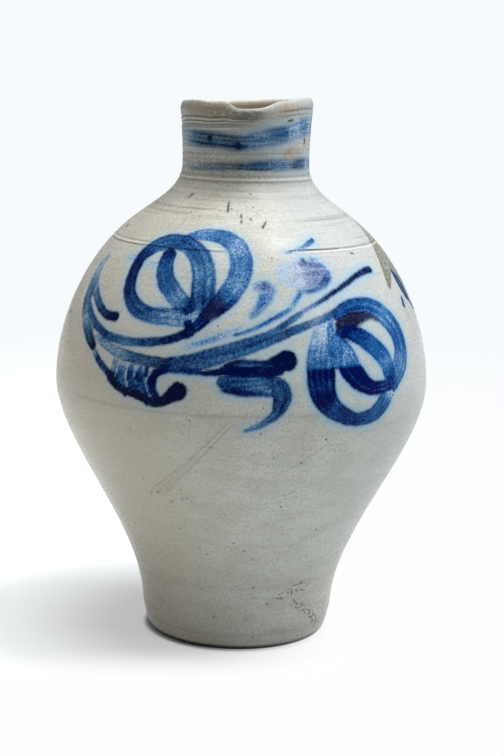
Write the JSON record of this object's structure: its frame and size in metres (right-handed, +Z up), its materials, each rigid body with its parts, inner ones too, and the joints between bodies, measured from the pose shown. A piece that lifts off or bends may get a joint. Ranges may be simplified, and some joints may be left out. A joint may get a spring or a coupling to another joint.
{
  "type": "stoneware pitcher",
  "caption": "Bulbous salt-glazed stoneware pitcher with a short collar neck, a pulled pouring lip, a strap handle behind the neck and brushed blue ornament, for holding and pouring liquid.",
  "frame": {"origin": "centre of the flat underside, on the pot's turning axis, at the level of the table", "axes": "+Z up along the turning axis, -Y towards the pouring lip, +Y towards the handle, +X to the right of the lip seen from the front"},
  "size_m": [0.237, 0.237, 0.34],
  "materials": {
    "salt_glazed_body": "glossy grey salt glaze with fine orange-peel texture and brushed cobalt blue ornament",
    "salt_glazed_handle": "glossy grey salt glaze with fine orange-peel texture"
  },
  "bodies": {
    "root": {"thrown_body": "salt_glazed_body", "strap_handle": "salt_glazed_handle"}
  },
  "joints": []
}
